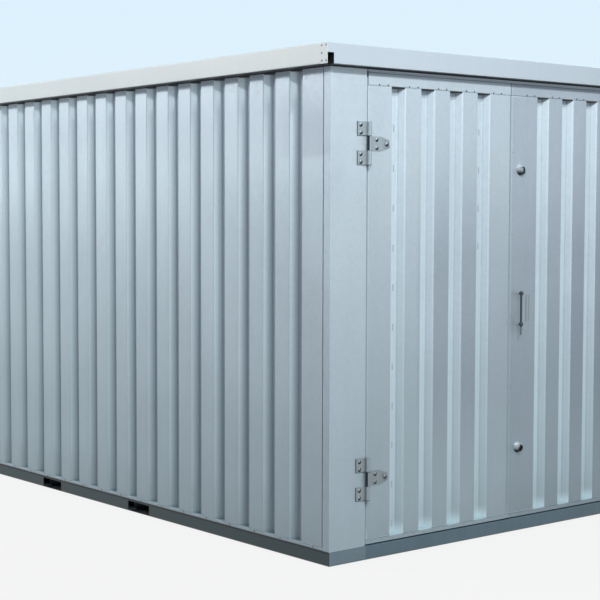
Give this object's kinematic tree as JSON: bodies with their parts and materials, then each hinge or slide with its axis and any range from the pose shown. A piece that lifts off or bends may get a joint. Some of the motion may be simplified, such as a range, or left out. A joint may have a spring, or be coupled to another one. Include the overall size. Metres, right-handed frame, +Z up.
{
  "type": "portable site cabin",
  "caption": "Portable steel site cabin with ribbed sheet walls, double strap-hinged doors, a flat fascia roof and fork pockets in its base.",
  "frame": {"origin": "middle of the plan at ground level, under the base frame", "axes": "+Z up, +Y from the doors towards the rear wall, +X to the right seen from the doors"},
  "size_m": [2.41, 3.783, 2.2],
  "materials": {
    "galvanised_sheet": "galvanised, dull spangle",
    "base_paint": "satin slate grey paint",
    "roof_fascia_paint": "satin pale grey",
    "hinge_zinc": "zinc plated",
    "plywood": "coated plywood",
    "lock_chrome": "satin chrome",
    "handle_black": "black powder coat"
  },
  "bodies": {
    "cabin": {"base_beam_front": "base_paint", "base_beam_left": "base_paint", "base_beam_rear": "base_paint", "base_beam_right": "base_paint", "door_header": "galvanised_sheet", "door_hinge_pins": "hinge_zinc", "door_hinge_plates": "hinge_zinc", "floor_deck": "plywood", "floor_joists": "base_paint", "front_left_corner_post": "galvanised_sheet", "front_right_corner_post": "galvanised_sheet", "left_bottom_track": "galvanised_sheet", "left_wall_panel_1": "galvanised_sheet", "left_wall_panel_2": "galvanised_sheet", "left_wall_panel_3": "galvanised_sheet", "left_wall_panel_4": "galvanised_sheet", "rear_bottom_track": "galvanised_sheet", "rear_left_corner_post": "galvanised_sheet", "rear_right_corner_post": "galvanised_sheet", "rear_wall_panel_1": "galvanised_sheet", "rear_wall_panel_2": "galvanised_sheet", "rear_wall_panel_3": "galvanised_sheet", "right_bottom_track": "galvanised_sheet", "right_wall_panel_1": "galvanised_sheet", "right_wall_panel_2": "galvanised_sheet", "right_wall_panel_3": "galvanised_sheet", "right_wall_panel_4": "galvanised_sheet", "roof_corner_brackets": "galvanised_sheet", "roof_corner_caps": "roof_fascia_paint", "roof_rail_front": "roof_fascia_paint", "roof_rail_left": "roof_fascia_paint", "roof_rail_rear": "roof_fascia_paint", "roof_rail_right": "roof_fascia_paint", "roof_sheet_1": "galvanised_sheet", "roof_sheet_2": "galvanised_sheet", "roof_sheet_3": "galvanised_sheet", "roof_sheet_4": "galvanised_sheet"},
    "left_door": {"left_door_sheet": "galvanised_sheet", "left_door_rails": "galvanised_sheet", "left_hinge_straps": "hinge_zinc"},
    "right_door": {"right_door_sheet": "galvanised_sheet", "right_door_rails": "galvanised_sheet", "right_hinge_straps": "hinge_zinc", "door_locks": "lock_chrome", "pull_handle": "handle_black"}
  },
  "joints": [
    {"name": "left_door_hinge", "type": "hinge", "parent": "cabin", "child": "left_door", "pos_m": [-0.928, -1.8525, 1.074], "axis": [0, 0, -1], "range_deg": [0, 180]},
    {"name": "right_door_hinge", "type": "hinge", "parent": "cabin", "child": "right_door", "pos_m": [0.928, -1.8525, 1.074], "axis": [0, 0, 1], "range_deg": [0, 180]}
  ]
}
